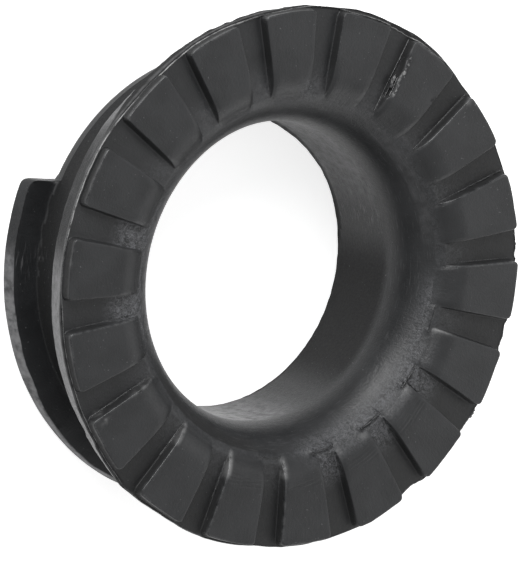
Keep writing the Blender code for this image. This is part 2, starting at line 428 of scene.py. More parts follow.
def wall_profile():
    """Across a pad's wall: distance out from the top edge line, and share of the pad's height."""
    lean = math.radians(PAD_DRAFT_ANGLE)
    foot = PAD_HEIGHT * math.tan(lean)
    reach = math.tan(math.radians((90.0 - PAD_DRAFT_ANGLE) / 2.0))
    top = (-PAD_EDGE_ROUND * reach, -PAD_EDGE_ROUND)
    fillet = (foot + PAD_FOOT_FILLET * reach, PAD_FOOT_FILLET - PAD_HEIGHT)
    points = arc(top, PAD_EDGE_ROUND, 90.0, PAD_DRAFT_ANGLE, EDGE_STEPS)
    bottom = arc(fillet, PAD_FOOT_FILLET, 180.0 + PAD_DRAFT_ANGLE, 270.0, 3)
    upper, lower = points[-1], bottom[0]
    for share in (0.33, 0.67):
        points.append((upper[0] + (lower[0] - upper[0]) * share, upper[1] + (lower[1] - upper[1]) * share))
    points += bottom
    return [(out, 1.0 + drop / PAD_HEIGHT) for out, drop in points]


WALL = wall_profile()
FOOT = WALL[-1][0]


def column_pattern():
    """One pitch of columns, from pad to pad: kind, side, distance or share, height share, edge."""
    half = [("pad", share / PAD_STEPS, 1.0, 0.0) for share in range(PAD_STEPS)]
    half += [("edge", out, 1.0, 0.0) for out in INSIDE]
    half += [("edge", out, height, float(index <= EDGE_STEPS)) for index, (out, height) in enumerate(WALL)]
    half += [("edge", FOOT + out, 0.0, 0.0) for out in OUTSIDE]
    half += [("groove", share / GROOVE_STEPS, 0.0, 0.0) for share in range(1, GROOVE_STEPS)]
    forward = [(kind, 1.0, value, height, edge) for kind, value, height, edge in half]
    middle = [("groove", 1.0, 1.0, 0.0, 0.0)]
    mirrored = [(kind, -1.0, value, height, edge) for kind, value, height, edge in reversed(half[1:])]
    return forward + middle + mirrored


PATTERN = column_pattern()
COLUMNS = len(PATTERN) * PAD_COUNT


def column_angles(radius):
    """Angle of every column at one radius, in radians, walls at a fixed distance from a pad's edge."""
    half_pad = math.radians(HALF_PAD_ANGLE)
    half_pitch = math.radians(PITCH / 2.0)
    first = half_pad + INSIDE[0] / radius
    last = half_pad + (FOOT + OUTSIDE[-1]) / radius
    angles = []
    for kind, side, value, _, _ in PATTERN:
        if kind == "pad":
            inside = first * value
        elif kind == "edge":
            inside = half_pad + value / radius
        else:
            inside = last + (half_pitch - last) * value
        angles.append(inside if side > 0.0 else 2.0 * half_pitch - inside)
    pitch = np.array(angles)
    turns = np.arange(PAD_COUNT)[:, None] * 2.0 * half_pitch
    return (turns + pitch[None, :]).ravel()


def flare_centre():
    """Centre of the flare's arc, which meets the groove floor at the pads' inner end."""
    radius = BORE_RADIUS + FLARE_RADIUS
    drop = math.sqrt(FLARE_RADIUS ** 2 - (radius - PAD_INNER_RADIUS) ** 2)
    return radius, FLOOR_HEIGHT - drop


def base_height(radius):
    """Height of the front face without pads: groove floor, then the flare down to the bore."""
    centre = flare_centre()
    inside = np.clip(FLARE_RADIUS ** 2 - (centre[0] - radius) ** 2, 0.0, None)
    return np.where(radius >= PAD_INNER_RADIUS, FLOOR_HEIGHT, centre[1] + np.sqrt(inside))


def pad_height(radius):
    """Height of a pad above the floor: full, then rolled down towards the flare."""
    drop = PAD_HEIGHT - PAD_END_STEP
    curve = (PAD_ROLL_LENGTH ** 2 + drop ** 2) / (2.0 * drop)
    along = np.clip(PAD_INNER_RADIUS + PAD_ROLL_LENGTH - radius, 0.0, PAD_ROLL_LENGTH)
    return PAD_HEIGHT - (curve - np.sqrt(curve ** 2 - along ** 2))


def front_rows():
    """Rows of the front face, from the rim inward: radius, share of the pad's height, edge."""
    last = len(WALL) - 1
    rows = [(PAD_OUTER_RADIUS + out, height, float(last - index <= EDGE_STEPS))
            for index, (out, height) in enumerate(reversed(WALL))]
    rows += [(PAD_OUTER_RADIUS + out, 1.0, 0.0) for out in reversed(INSIDE)]
    roll_start = PAD_INNER_RADIUS + PAD_ROLL_LENGTH
    flat = np.linspace(PAD_OUTER_RADIUS + INSIDE[0], roll_start + ROLL_MARGIN, FLAT_ROWS)[1:]
    roll_end = PAD_END_RADIUS + PAD_END_BLEND + PAD_END_MARGIN
    roll = np.linspace(roll_start + ROLL_MARGIN, roll_end, ROLL_ROWS)[1:]
    rows += [(radius, 1.0, 0.0) for radius in (*flat, *roll)]
    for out in np.linspace(PAD_END_BLEND, -PAD_END_BLEND, PAD_END_ROWS):
        height = float(smooth(out, -PAD_END_BLEND, PAD_END_BLEND))
        rows.append((PAD_END_RADIUS + out, height, 0.0))
    return rows


def flare_rows():
    """Radii and heights down the flare, to where the bore wall begins."""
    centre = flare_centre()
    reach = centre[0] - PAD_END_RADIUS + PAD_END_BLEND + FLARE_MARGIN
    start = 180.0 - math.degrees(math.acos(reach / FLARE_RADIUS))
    return arc(centre, FLARE_RADIUS, start, 180.0, FLARE_ROWS)


def corner_warp(side, end, radius, fade):
    """Moves points near a pad's corner so that lines along its two sides run round the corner.

    side and end are the depths inside the pad's foot line, from its side and its end. The
    change dies away across fade beyond the end, where the rim's edge or the flare begins."""
    depth = np.minimum(side, end)
    along = np.abs(side - end)
    size = np.where(depth >= 0.0, radius - depth, radius * (1.0 + depth / CORNER_FADE))
    active = (size > 1e-6) & (along < size)
    safe = np.where(active, size, 1.0)
    turn = (1.0 - along / safe) * math.pi / 4.0
    near = depth + safe - safe * np.cos(turn)
    far = depth + safe - safe * np.sin(turn)
    first = side <= end
    strength = np.clip(1.0 + end / fade, 0.0, 1.0) * active
    new_side = np.where(first, near, far)
    new_end = np.where(first, far, near)
    return side + (new_side - side) * strength, end + (new_end - end) * strength


def new_row(zone, radius, angle, height, share=0.0, edge=0.0, side=-9.0):
    """One row of the skin. share is the pad's height there, and side the depth inside the pad's side."""
    values = dict(zone=zone, radius=radius, height=height, share=share, edge=edge, side=side)
    full = {name: np.full(angle.shape, value, float) for name, value in values.items()}
    return SimpleNamespace(angle=angle.copy(), **full)


def front_face():
    """The front face's rows, shaped as pads and grooves."""
    rows = front_rows()
    foot_radius = PAD_OUTER_RADIUS + FOOT
    inner_foot = PAD_END_RADIUS - PAD_END_BLEND
    column_share = np.array([height for _, _, _, height, _ in PATTERN] * PAD_COUNT)[None, :]
    column_edge = np.array([edge for _, _, _, _, edge in PATTERN] * PAD_COUNT)[None, :]
    row_radius, row_share, row_edge = (np.array(values)[:, None] for values in zip(*rows))
    radii = row_radius * np.ones(COLUMNS)
    angles = np.array([column_angles(radius) for radius, _, _ in rows])
    pitch = math.radians(PITCH)
    centre = np.round(angles / pitch) * pitch
    turn = angles - centre
    side_sign = np.where(turn >= 0.0, 1.0, -1.0)
    side = math.radians(HALF_PAD_ANGLE) * radii + FOOT - np.abs(turn) * radii
    outer_side, outer_end = corner_warp(side, foot_radius - radii, OUTER_CORNER_RADIUS, OUTER_CORNER_FADE)
    inner_side, inner_end = corner_warp(side, radii - inner_foot, INNER_CORNER_RADIUS, INNER_CORNER_FADE)
    outer_half = radii > (foot_radius + inner_foot) / 2.0
    side = np.where(outer_half, outer_side, inner_side)
    radii = np.where(outer_half, foot_radius - outer_end, inner_foot + inner_end)
    turn = side_sign * (math.radians(HALF_PAD_ANGLE) + (FOOT - side) / radii)
    share = np.minimum(column_share, row_share)
    edge = np.maximum(column_edge * row_share, row_edge * column_share)
    z = base_height(radii) + pad_height(radii) * share
    return [new_row(FRONT, radii[i], centre[i] + turn[i], z[i], share[i], edge[i], side[i] - FOOT)
            for i in range(len(rows))]


def lip_outline():
    """Left end of the lip in plan, from the collar out: fillet, straight cut, round corner, rim."""
    fillet_y = LIP_END_OFFSET + LIP_END_FILLET
    fillet_x = -math.sqrt((COLLAR_RADIUS + LIP_END_FILLET) ** 2 - fillet_y ** 2)
    inward = math.degrees(math.atan2(-fillet_y, -fillet_x))
    points = arc((fillet_x, fillet_y), LIP_END_FILLET, inward, -90.0, 10)
    corner_y = LIP_END_OFFSET - LIP_END_CORNER
    corner_x = -math.sqrt((LIP_RADIUS - LIP_END_CORNER) ** 2 - corner_y ** 2)
    outward = math.degrees(math.atan2(corner_y, corner_x))
    points += arc((corner_x, corner_y), LIP_END_CORNER, 90.0, outward, 10)
    return points


def lip_reach(angles):
    """Radius of the lip's rim at each angle, down to the collar's where there is no lip."""
    outline = lip_outline()
    rise = np.array([180.0 - math.degrees(math.atan2(y, x)) for x, y in outline])
    radius = np.array([math.hypot(x, y) for x, y in outline])
    order = np.argsort(rise)
    degrees = turned(np.degrees(angles), 90.0) + 90.0
    above = np.where(degrees > 90.0, 180.0 - degrees, degrees)
    return np.interp(above, rise[order], radius[order], left=LIP_RADIUS, right=COLLAR_RADIUS)


def lip_section(reach):
    """The lip's section from the collar wall to the bore's back face, for one reach."""
    edge = min(LIP_EDGE_ROUND, 0.45 * max(reach - COLLAR_RADIUS, LEAST_REACH))
    fillet = min(LIP_ROOT_FILLET, max(reach - COLLAR_RADIUS - edge - LIP_TAPER, LEAST_REACH))
    centre = (COLLAR_RADIUS + fillet, LIP_THICKNESS + fillet)
    points = arc(centre, fillet, 180.0, 270.0, 4)
    tip = reach - LIP_TAPER
    start = COLLAR_RADIUS + fillet
    face = np.linspace(start, max(tip - edge, start), 6)[1:]
    points += [(radius, LIP_THICKNESS) for radius in face]
    points += arc((tip - edge, LIP_THICKNESS - edge), edge, 80.0, 10.0, 3)
    points += [(reach - LIP_TAPER * share, LIP_THICKNESS * share) for share in (0.7, 0.45, 0.2)]
    points += arc((reach - edge, edge), edge, -10.0, -90.0, 3)
    end = COLLAR_RADIUS - COLLAR_BACK_ROUND
    points += [(radius, 0.0) for radius in np.linspace(reach - edge, end, 5)[1:]]
    return points


def plain_section(count):
    """The collar's own back end with as many points as the lip's section has."""
    top = LIP_THICKNESS + LIP_ROOT_FILLET
    centre = (COLLAR_RADIUS - COLLAR_BACK_ROUND, COLLAR_BACK_ROUND)
    bend = arc(centre, COLLAR_BACK_ROUND, 0.0, -90.0, 12)
    wall = np.linspace(top, COLLAR_BACK_ROUND, count - len(bend) + 1)[:-1]
    return [(COLLAR_RADIUS, height) for height in wall] + bend


def rim_section():
    """The flange's edge, from its front round to its back round."""
    lean = math.degrees(math.atan2(RIM_TAPER, FLANGE_THICKNESS))
    reach = RIM_BACK_ROUND * math.tan(math.radians((90.0 - lean) / 2.0))
    corner = (FLANGE_RADIUS - RIM_TAPER - reach, FLANGE_BACK_HEIGHT + RIM_BACK_ROUND)
    rim_end = arc(corner, RIM_BACK_ROUND, -lean, -90.0, 3)
    front = (FLANGE_RADIUS - RIM_FRONT_ROUND, FLOOR_HEIGHT - RIM_FRONT_ROUND)
    rim_start = arc(front, RIM_FRONT_ROUND, 90.0, -lean, 3)
    first, last = rim_start[-1], rim_end[0]
    side = [(first[0] + (last[0] - first[0]) * t, first[1] + (last[1] - first[1]) * t)
            for t in np.linspace(0.0, 1.0, 8)[1:-1]]
    return rim_start, side + rim_end


def collar_section(start_radius):
    """The flange's back and the collar's wall, down to where the lip's root begins."""
    root = (COLLAR_RADIUS + COLLAR_ROOT_FILLET, FLANGE_BACK_HEIGHT - COLLAR_ROOT_FILLET)
    points = [(radius, FLANGE_BACK_HEIGHT) for radius in np.linspace(start_radius, root[0], 6)[1:-1]]
    points += arc(root, COLLAR_ROOT_FILLET, 90.0, 180.0, 5)
    wall = np.linspace(root[1], LIP_THICKNESS + LIP_ROOT_FILLET, 7)[1:-1]
    return points + [(COLLAR_RADIUS, height) for height in wall]


def bore_section():
    """The back face, the bore's back edge and its wall, up to just below the flare."""
    inner = BORE_RADIUS + BORE_EDGE_ROUND
    points = [(radius, 0.0) for radius in np.linspace(COLLAR_RADIUS - COLLAR_BACK_ROUND, inner, 5)[1:-1]]
    points += arc((inner, BORE_EDGE_ROUND), BORE_EDGE_ROUND, 270.0, 180.0, 4)
    points += [(BORE_RADIUS, BORE_EDGE_ROUND + above) for above in (0.35, 0.8, 1.6, 2.4)]
    top = flare_centre()[1]
    return points + [(BORE_RADIUS, height) for height in np.linspace(BORE_EDGE_ROUND + 2.4, top, 8)[1:-1]]


def back_angles(angles):
    """Draws the columns together near the lip's two ends, where its cuts need them."""
    degrees = np.degrees(angles)
    shifted = degrees.copy()
    for end in LIP_END_ANGLES:
        away = turned(degrees, end)
        shifted -= away * bell(away, LIP_END_PULL_WIDTH) * LIP_END_PULL
    return np.radians(shifted)


def back_rows(rim_angles, bore_angles):
    """Rows of the flange's back, the collar, the lip or plain back end, and the bore."""
    drawn = back_angles(rim_angles)
    rows = []
    collar = collar_section(FLANGE_RADIUS - RIM_TAPER - RIM_BACK_ROUND)
    for index, (radius, height) in enumerate(collar):
        blend = min(1.0, (index + 1) / DRAWING_ROWS)
        rows.append(new_row(BACK, radius, rim_angles + (drawn - rim_angles) * blend, height))
    reach = lip_reach(drawn)
    sections = np.array([lip_section(value) for value in reach])
    plain = np.array(plain_section(sections.shape[1]))
    has_lip = smooth(reach - COLLAR_RADIUS, 0.0, LIP_FULL_REACH)
    sections = plain[None] * (1.0 - has_lip[:, None, None]) + sections * has_lip[:, None, None]
    for index in range(sections.shape[1]):
        on_rim = float(LIP_RIM_ROWS[0] <= index <= LIP_RIM_ROWS[1])
        rows.append(new_row(LIP, sections[:, index, 0], drawn, sections[:, index, 1], has_lip, on_rim))
    bore = bore_section()
    for index, (radius, height) in enumerate(bore):
        blend = min(1.0, (index + 1) / len(bore))
        rows.append(new_row(BORE, radius, drawn + (bore_angles - drawn) * blend, height))
    return rows


def ring_rows():
    """Fine rows from the flare's end over the front face to the rim's back, and coarse rows behind them."""
    flare_angles = column_angles(PAD_INNER_RADIUS)
    rim_angles = column_angles(FLANGE_RADIUS)
    fine = [new_row(FLARE, radius, flare_angles, height) for radius, height in reversed(flare_rows())]
    fine += reversed(front_face())
    rim_start, rim_rest = rim_section()
    fine += [new_row(RIM, radius, rim_angles, height, edge=1.0) for radius, height in rim_start]
    fine += [new_row(RIM, radius, rim_angles, height) for radius, height in rim_rest]
    return fine, back_rows(rim_angles[::2], flare_angles[::2])


def joined(rows):
    """All rows as one set of long arrays."""
    names = vars(rows[0]).keys()
    skin = SimpleNamespace(**{name: np.concatenate([getattr(row, name) for row in rows]) for name in names})
    skin.degrees = np.degrees(skin.angle)
    skin.front, skin.flare, skin.rim, skin.back, skin.lip, skin.bore = (skin.zone == zone for zone in ZONES)
    return skin


def places(skin):
    """The skin's points, in millimetres."""
    return polar(skin.radius, skin.angle, skin.height)


def pad_turn(degrees):
    """Angle from the middle of the nearest pad."""
    return turned(degrees, np.round(np.asarray(degrees, float) / PITCH) * PITCH)


def distance_from(skin, angle, radius):
    """How far each point lies from one spot on the front."""
    return np.hypot(skin.radius * np.radians(turned(skin.degrees, angle)), skin.radius - radius)


def near_tear(skin):
    """Where the torn side of the torn pad is, from its groove to its middle."""
    return skin.front * (np.abs(turned(skin.degrees, TORN_SIDE_ANGLE)) < TORN_SIDE_REACH)


def box_reach(angles):
    """How far the part's box reaches in each direction."""
    return (FLANGE_RADIUS - BOX_CLEARANCE) / np.maximum(np.abs(np.cos(angles)), np.abs(np.sin(angles)))


def rim_offset(degrees):
    """How far the flange's ragged edge lies outside its true circle."""
    in_groove = smooth(np.abs(pad_turn(degrees)), HALF_PAD_ANGLE, HALF_PAD_ANGLE + 0.8)
    waves = 0.10 + 0.16 * rim_noise(degrees, 8.0, 11) + 0.08 * rim_noise(degrees, 2.2, 12)
    torn = between(degrees, -62.0, 14.0, 6.0) * in_groove * rim_waves(degrees, 0.20, 1.3, 13)
    bite = BITE_DEPTH * bell(turned(degrees, BITE_ANGLE), BITE_WIDTH)
    set_back = 0.5 * between(degrees, 92.0, 150.0, 10.0)
    shape = np.interp(turned(degrees, 0.0), *zip(*RIM_SHAPE), left=0.0, right=0.0)
    return shape - np.clip(waves, 0.0, None) - torn - bite - set_back


def roughen_rim(skin):
    """Moves the flange's edge to its ragged outline, within the part's box."""
    right = between(skin.degrees, -80.0, 50.0, 8.0)
    held = skin.share * between(skin.degrees, 48.0, 104.0, 6.0)
    inner = PAD_OUTER_RADIUS - 1.0 - right
    near = smooth(skin.radius, inner, inner + 2.0) * (1.0 - held) * skin.front
    near = np.where(skin.rim, 1.0, near)
    skin.radius += near * rim_offset(skin.degrees)
    below = FLOOR_HEIGHT - skin.height
    upper = skin.rim * between(skin.degrees, 62.0, 150.0, 8.0)
    full = FLANGE_RADIUS - skin.radius - FIN_CLEARANCE
    bulge = 0.78 + 0.16 * rim_noise(skin.degrees, 2.4, 14)
    skin.radius += upper * bell(below - 2.6, 2.2) * full * bulge
    side = skin.rim * (1.0 - skin.edge)
    skin.radius -= side * lumps(places(skin), 0.05, 3.0, 15)
    skin.radius -= upper * lumps(places(skin), 0.16, 1.7, 16) * (1.0 - skin.edge)
    skin.radius = np.minimum(skin.radius, box_reach(skin.angle))


def wave_lip(skin):
    """Makes the lip's front edge and rim wander a little, as trimmed rubber does."""
    tip = skin.lip * skin.share * smooth(skin.radius, LIP_RADIUS - 3.0, LIP_RADIUS - 0.7)
    front = tip * smooth(skin.height, 0.5, LIP_THICKNESS - 0.2)
    skin.radius -= front * rim_waves(skin.degrees, 0.14, 4.2, 21)
    skin.radius -= front * rim_waves(skin.degrees, 0.12, 1.5, 22)
    skin.radius -= tip * rim_waves(skin.degrees, 0.08, 8.0, 23)
    skin.height -= front * rim_waves(skin.degrees, 0.15, 5.0, 24)
    skin.radius += front * 0.7 * between(skin.degrees, -150.0, -104.0, 16.0)


def soften_pads(skin):
    """Rounds the pads' long edges more and more towards their inner ends."""
    on_pad = skin.front * skin.share
    inner = 1.0 - smooth(skin.radius, PAD_INNER_RADIUS + 1.5, PAD_INNER_RADIUS + 12.0)
    depth = np.clip(skin.side, 0.0, None)
    skin.height -= on_pad * PAD_SOFTENING * inner * bell(depth, PAD_SOFT_WIDTH)


def ripple_pads(skin):
    """Presses the shallow flow lines across the inner ends of the lowest pads."""
    inside = skin.front * smooth(skin.side, 0.7, 1.6) * smooth(skin.share, 0.9, 1.0)
    reach = plateau(skin.radius, *RIPPLE_REACH)
    for index, pad in enumerate(RIPPLED_PADS):
        turn = turned(skin.degrees, pad)
        here = inside * reach * (np.abs(turn) < HALF_PAD_ANGLE)
        phase = (skin.radius + 0.12 * turn + 0.35 * noise(places(skin), 4.0, 40 + index)) / RIPPLE_SPACING
        patchy = 0.65 + 0.35 * noise(places(skin), 2.6, 50 + index)
        skin.height -= here * RIPPLE_DEPTH * patchy * (1.0 + np.sin(2.0 * math.pi * phase))


def tear_pad(skin):
    """Pulls the wall of one pad out of shape where it tore in the mould."""
    along = plateau(skin.radius, TEAR_START, TEAR_START + TEAR_FADE, TEAR_END - TEAR_FADE, TEAR_END)
    here = near_tear(skin)
    wall = here * plateau(skin.side, -1.9, -0.7, 0.0, 3.0)
    retreat = along * wall * (0.6 + 0.4 * noise(places(skin), 1.5, 61))
    top = here * along * bell(skin.side, 0.7) * skin.share
    skin.height -= top * lumps(places(skin), 0.45, 1.2, 62)
    skin.angle -= TEAR_RETREAT * retreat / skin.radius


def nick_pad(skin):
    """One small pit beside a pad's edge."""
    away = distance_from(skin, NICK_ANGLE, NICK_RADIUS)
    skin.height -= skin.front * NICK_DEPTH * bell(away, NICK_WIDTH)


def raise_flare_edge(skin):
    """Lets the flare stand a little above the groove floors that end in a step."""
    in_groove = smooth(np.abs(pad_turn(skin.degrees)), HALF_PAD_ANGLE - 0.2, HALF_PAD_ANGLE + 0.6)
    flare = skin.flare | skin.front
    profile = plateau(skin.radius - STEP_RADIUS, -1.5, -0.1, 0.15, 0.6) * flare
    behind = bell(skin.radius - STEP_RADIUS - 0.9, 0.45) * flare
    for groove, height in FLARE_STEPS:
        beside = between(skin.degrees, groove - GROOVE_ANGLE / 2.0 - STEP_OVERRUN, groove, 0.8)
        here = np.maximum(in_groove, beside) * (np.abs(turned(skin.degrees, groove)) < PITCH / 2.0)
        skin.height += profile * here * STEP_RISE * height * (0.85 + 0.3 * noise(places(skin), 1.2, 71))
        skin.height -= behind * here * STEP_DIP * height


def roughen_skin(skin):
    """Slow unevenness of moulded rubber, always inward."""
    spots = places(skin)
    front = skin.front | skin.flare
    skin.height -= front * lumps(spots, 0.035, 8.0, 31)
    skin.height -= front * mottled(skin) * lumps(spots, 0.05, 1.6, 32)
    inside = skin.bore * smooth(skin.height, 0.5, 2.0)
    skin.radius += inside * 0.05 * noise(spots, 7.0, 33)
    bore = skin.bore * (skin.radius < BORE_RADIUS + 0.5)
    ragged = 0.35 * bell(turned(skin.degrees, 33.0), 14.0) - 0.45 * bell(turned(skin.degrees, 66.0), 12.0)
    back_edge = bore * (1.0 - smooth(skin.height, 1.0, 3.2))
    skin.radius += back_edge * (ragged + 0.12 * noise(spots, 1.8, 35))
    face = skin.lip * (skin.height > LIP_THICKNESS - 0.1)
    skin.height -= face * lumps(spots, 0.06, 3.0, 34)


def mottled(skin):
    """Where the surface is rough: the inner ends of the grooves, most of all at the left and lower right."""
    degrees = skin.degrees
    in_groove = skin.front * (1.0 - skin.share)
    inner = 1.0 - smooth(skin.radius, 55.0, 64.0)
    left = between(degrees, 152.0, 206.0, 12.0)
    lower = between(degrees, -84.0, -14.0, 12.0)
    groove = in_groove * inner * (0.2 + np.maximum(1.1 * left, 0.62 * lower))
    pads = skin.front * skin.share * (1.0 - smooth(skin.radius, 52.5, 56.0)) * 0.35 * lower
    flare = skin.flare * smooth(skin.radius, 45.0, 49.0) * 0.65 * between(degrees, -85.0, 8.0, 14.0)
    patch = skin.front * bell(turned(degrees, 94.0), 3.0) * bell(skin.radius - 53.5, 3.0) * 0.6
    return np.clip(groove + pads + flare + patch, 0.0, 1.0)


def lit_edge_highlights(skin):
    """Strength of the painted highlight and extra gloss on each edge of the front: full on the sides that
    face up and left, towards the light, low on the others; full off the front.
    """
    turn = pad_turn(skin.degrees)
    left = between(skin.degrees, -188.0, -66.0, 6.0) * (turn < 0.0)
    right = between(skin.degrees, -4.0, 68.0, 4.0) * (turn > 0.0)
    outer = between(skin.degrees, 96.0, 176.0, 8.0) * (skin.radius > PAD_OUTER_RADIUS - 1.0)
    bright = np.maximum(np.maximum(left, right), outer)
    return np.where(skin.front, 0.15 + 0.85 * bright, 1.0)


def side_highlights_and_scuff(skin):
    """Painted highlights along pads' sides, and one pale scuff on a pad's corner."""
    total = np.zeros(skin.radius.shape)
    for pad, side, start, end, depth, width, strength in PAINTED_SIDE_HIGHLIGHTS:
        turn = turned(skin.degrees, pad)
        here = skin.front * (turn * side > 0.0) * (np.abs(turn) < PITCH / 2.0)
        along = plateau(skin.radius, start, start + 1.0, end - 2.5, end)
        total += strength * here * along * bell(skin.side - depth, width)
    away = distance_from(skin, SCUFF_ANGLE, SCUFF_RADIUS)
    scuff = skin.front * bell(away, SCUFF_WIDTH) * smooth(noise(places(skin), 1.1, 201), -0.3, 0.5)
    return total + SCUFF_STRENGTH * scuff


def marked_parts(skin):
    """Parts of the surface that finishes and painted light and shade lie on, each from 0 to 1 at every point
    of the skin.
    """
    lip = skin.lip * skin.share
    groove = skin.front * (1.0 - skin.share)
    border = skin.front * (skin.share < 0.1)
    border = border * smooth(skin.radius, PAD_OUTER_RADIUS + 0.1, PAD_OUTER_RADIUS + 0.5)
    return dict(
        rim_side=skin.rim * (1.0 - skin.edge),
        outer_edge=skin.rim * skin.edge + border,
        groove_floor=groove * smooth(skin.radius, 51.5, 53.0),
        groove_ends=groove * (1.0 - smooth(skin.radius, 54.0, 63.0)),
        flare=skin.flare,
        upper_flare=skin.flare * (skin.radius > 46.5),
        flare_mouth=skin.flare * smooth(skin.radius, 45.5, 47.5),
        bore=skin.bore,
        back=skin.back,
        lip_rim=lip * skin.edge * smooth(skin.radius, LIP_RADIUS - 2.6, LIP_RADIUS - 1.9),
        lip_face=lip * (skin.height > LIP_THICKNESS - 0.5) * (1.0 - skin.edge),
        lip_root=skin.lip * (skin.height > LIP_THICKNESS + 0.05),
    )


def rim_band(skin, parts):
    """The darker, matt band along the front of the rim's side, which narrows towards the left: painted shade,
    and rougher.
    """
    reach = 11.0 * (1.0 - smooth(turned(skin.degrees, 0.0), 112.0, 168.0))
    lower_edge = FLOOR_HEIGHT - reach
    along = between(skin.degrees, 60.0, 172.0, 6.0)
    return parts["rim_side"] * along * smooth(skin.height, lower_edge, lower_edge + 1.5)


def painted_shade_places(skin, parts):
    """Painted shade all the way round, on the bore's back edge, the channel, the back, the lip's root and the
    pads' walls, and in the torn recess and the nick's pit.
    """
    channel = skin.back | (parts["lip_face"] > 0.0)
    low_back = parts["back"] * (skin.height < LIP_THICKNESS + 6.0)
    edge_band = BORE_EDGE_ROUND + 0.7 + 1.4 * between(skin.degrees, 8.0, 84.0, 10.0)
    wall = skin.front * 4.0 * skin.share * (1.0 - skin.share) * (skin.radius > PAD_END_RADIUS + 1.3)
    torn = near_tear(skin) * plateau(skin.side, -2.2, -1.4, -0.3, 0.2)
    torn = torn * smooth(skin.radius, TEAR_START, TEAR_START + TEAR_FADE)
    nick = skin.front * bell(distance_from(skin, NICK_ANGLE, NICK_RADIUS), NICK_SHADE_WIDTH)
    # Painted shade on the bore's back edge, the channel, the back, the lip's root, the pads' walls, the torn
    # recess and the nick's pit
    painted_shade = parts["bore"] * (skin.height < edge_band) + 0.2 * channel + 0.3 * parts["back"]
    return painted_shade + 0.8 * parts["lip_root"] + 0.5 * low_back + wall + torn + nick


def surface_marks(skin):
    """Strength of each finish and of the painted light and shade, from 0 to 1, at every point of the skin."""
    degrees = skin.degrees
    parts = marked_parts(skin)
    marks = {mark: sum(strength * parts[part] * between(degrees, start, end, fade)
                       for part, start, end, fade, strength in arcs) for mark, arcs in FINISH_AND_PAINTED_LIGHT_ARCS.items()}
    # The rim's band is rougher, and its darkening is painted shade
    band = rim_band(skin, parts)
    marks["matt"] = np.maximum(marks["matt"], band) + 0.5 * parts["back"] + 0.9 * parts["lip_root"]
    marks["painted_shade"] += painted_shade_places(skin, parts) + 0.9 * band
    marks["scratch"] += parts["rim_side"] * (0.35 + 0.65 * between(degrees, 140.0, 170.0, 6.0)) * (1.0 - band)
    marks["scratch"] += 0.25 * parts["flare"] + 0.8 * parts["lip_face"] * bell(turned(degrees, 183.0), 3.5)
    # Painted light on the bore's lowest wall, and painted highlights along pads' sides
    marks["burr_and_painted_light"] += 0.5 * parts["bore"] * bell(turned(degrees, -94.0), 11.0) + side_highlights_and_scuff(skin)
    # Painted shade on the groove floors, strongest on the right and at the bottom; the floors are also a
    # little rougher
    marks["groove"] = parts["groove_floor"] * (0.30 + 0.70 * between(degrees, -150.0, 80.0, 30.0))
    # Painted highlight on the edges, strongest where they face the light; it also lowers the roughness
    marks["edge"] = skin.edge * lit_edge_highlights(skin) * ~skin.lip
    marks["mottle"] = mottled(skin)
    return {mark: np.clip(value, 0.0, 1.0) for mark, value in marks.items()}


def strip_faces(first, second, count):
    """Quads between two rows of count points each, first row to the left of the second."""
    return [(first + i, first + (i + 1) % count, second + (i + 1) % count, second + i) for i in range(count)]


def halving_faces(fine, coarse, count):
    """Five-sided faces between a row of count points and a row of half as many."""
    faces = []
    for i in range(0, count, 2):
        a, b, c = fine + i, fine + i + 1, fine + (i + 2) % count
        faces.append((a, b, c, coarse + (i // 2 + 1) % (count // 2), coarse + i // 2))
    return faces


def ring_faces(fine_rows, coarse_rows):
    """Faces of the closed skin: fine rows from the flare's end outward, then coarse rows back to it."""
    half = COLUMNS // 2
    coarse_start = fine_rows * COLUMNS
    faces = []
    for i in range(fine_rows - 1):
        faces += strip_faces(i * COLUMNS, (i + 1) * COLUMNS, COLUMNS)
    faces += halving_faces((fine_rows - 1) * COLUMNS, coarse_start, COLUMNS)
    for i in range(coarse_rows - 1):
        faces += strip_faces(coarse_start + i * half, coarse_start + (i + 1) * half, half)
    last = coarse_start + (coarse_rows - 1) * half
    faces += [tuple(reversed(face)) for face in halving_faces(0, last, COLUMNS)]
    return [tuple(reversed(face)) for face in faces]


def put_in_scene(name, data):
    made = bpy.data.objects.new(name, data)
    bpy.context.scene.collection.objects.link(made)
    return made


def new_piece(name, points, faces, marks):
    """A smooth mesh object with its finish and painted light and shade stored at its points, riding on the
    part.
    """
    mesh = bpy.data.meshes.new(name)
    mesh.from_pydata([tuple(point) for point in points * METRE], [], faces)
    mesh.shade_smooth()
    for mark, values in marks.items():
        layer = mesh.attributes.new(mark, "FLOAT", "POINT")
        layer.data.foreach_set("value", np.asarray(values, np.float32))
    piece = put_in_scene(name, mesh)
    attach(piece, "root")
    return piece


def make_ring():
    """The whole ring as one closed skin, with its wear pressed into it."""
    fine, coarse = ring_rows()
    skin = joined(fine + coarse)
    roughen_rim(skin)
    wave_lip(skin)
    soften_pads(skin)
    ripple_pads(skin)
    tear_pad(skin)
    nick_pad(skin)
    raise_flare_edge(skin)
    roughen_skin(skin)
    faces = ring_faces(len(fine), len(coarse))
    ring = new_piece("ring_skin", places(skin), faces, surface_marks(skin))
    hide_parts(NODE)
    return ring


def arc_path(radius, height, start, end):
    """Points along an arc about the axis. radius and height are numbers or functions of the angle."""
    count = max(8, int(math.radians(abs(end - start)) * FLANGE_RADIUS / FLASH_STEP))
    degrees = np.linspace(start, end, count)
    reach = radius(degrees) if callable(radius) else np.full(count, radius)
    heights = height(degrees) if callable(height) else np.full(count, height)
    return polar(reach, np.radians(degrees), heights)


def pad_side_path(pad, side, start, end, out, height):
    """Points along a pad's side, out beyond its top edge line."""
    reach = np.linspace(start, end, int((end - start) / FLASH_STEP))
    angles = math.radians(pad) + side * (math.radians(HALF_PAD_ANGLE) + out / reach)
    return polar(reach, angles, np.full(len(reach), height))


